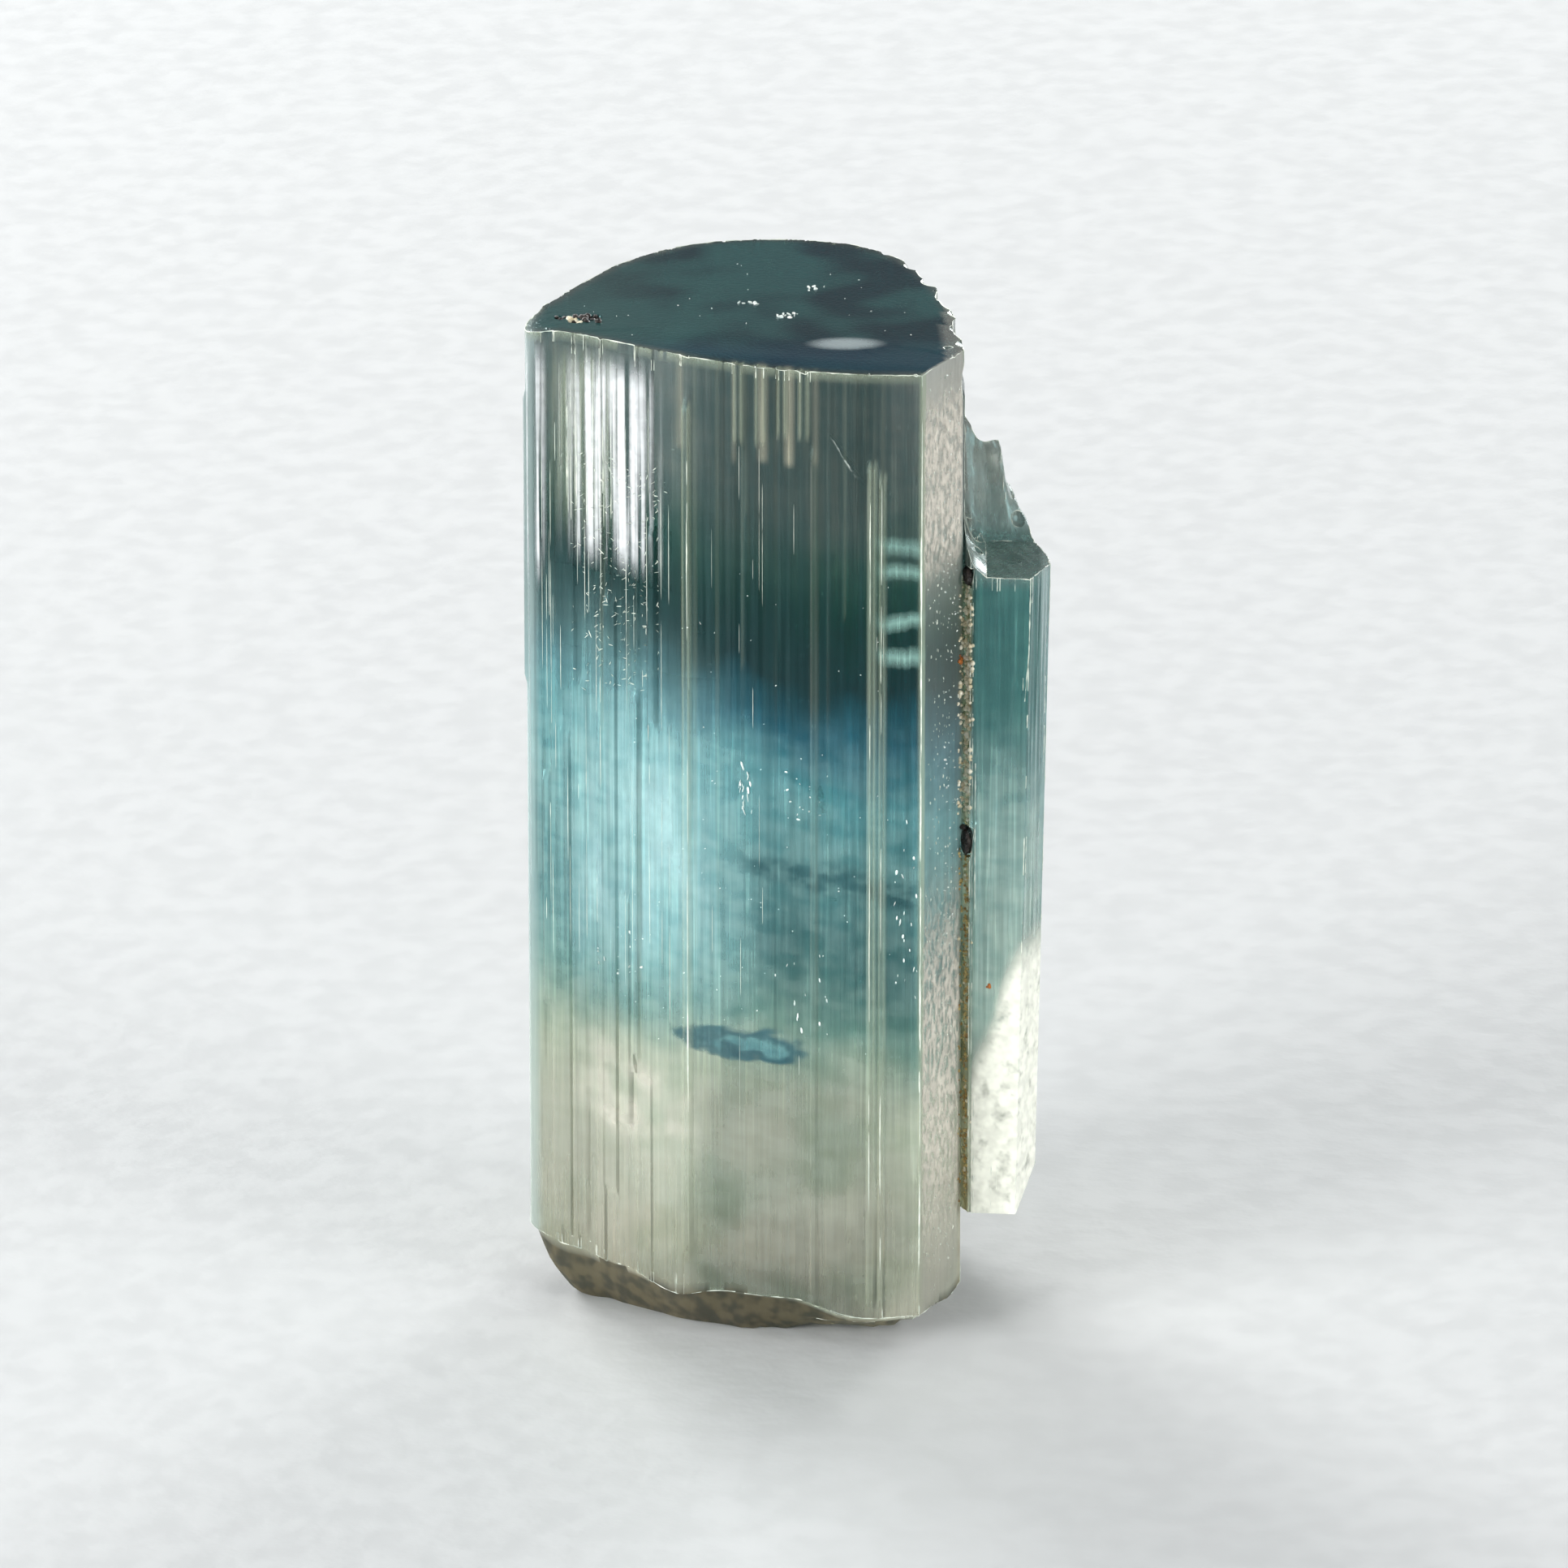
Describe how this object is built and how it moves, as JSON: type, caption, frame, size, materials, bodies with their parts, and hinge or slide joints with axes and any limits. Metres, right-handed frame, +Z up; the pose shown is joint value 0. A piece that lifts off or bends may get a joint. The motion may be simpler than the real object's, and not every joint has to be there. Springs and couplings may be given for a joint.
{
  "type": "tourmaline crystal",
  "caption": "Blue tourmaline crystal: striated rounded three-sided prism, flat top, broken foot, and a shorter prism grown along its right flank.",
  "frame": {"origin": "middle of the bounding box's underside, in the plane of the foot's flat patch", "axes": "+Z up along the crystal's c axis; +X towards the flank with the side prism; -Y is the front"},
  "size_m": [0.0114, 0.0088, 0.0226],
  "materials": {
    "tourmaline": "gloss"
  },
  "bodies": {
    "root": {"tourmaline_crystal": "tourmaline"}
  },
  "joints": []
}
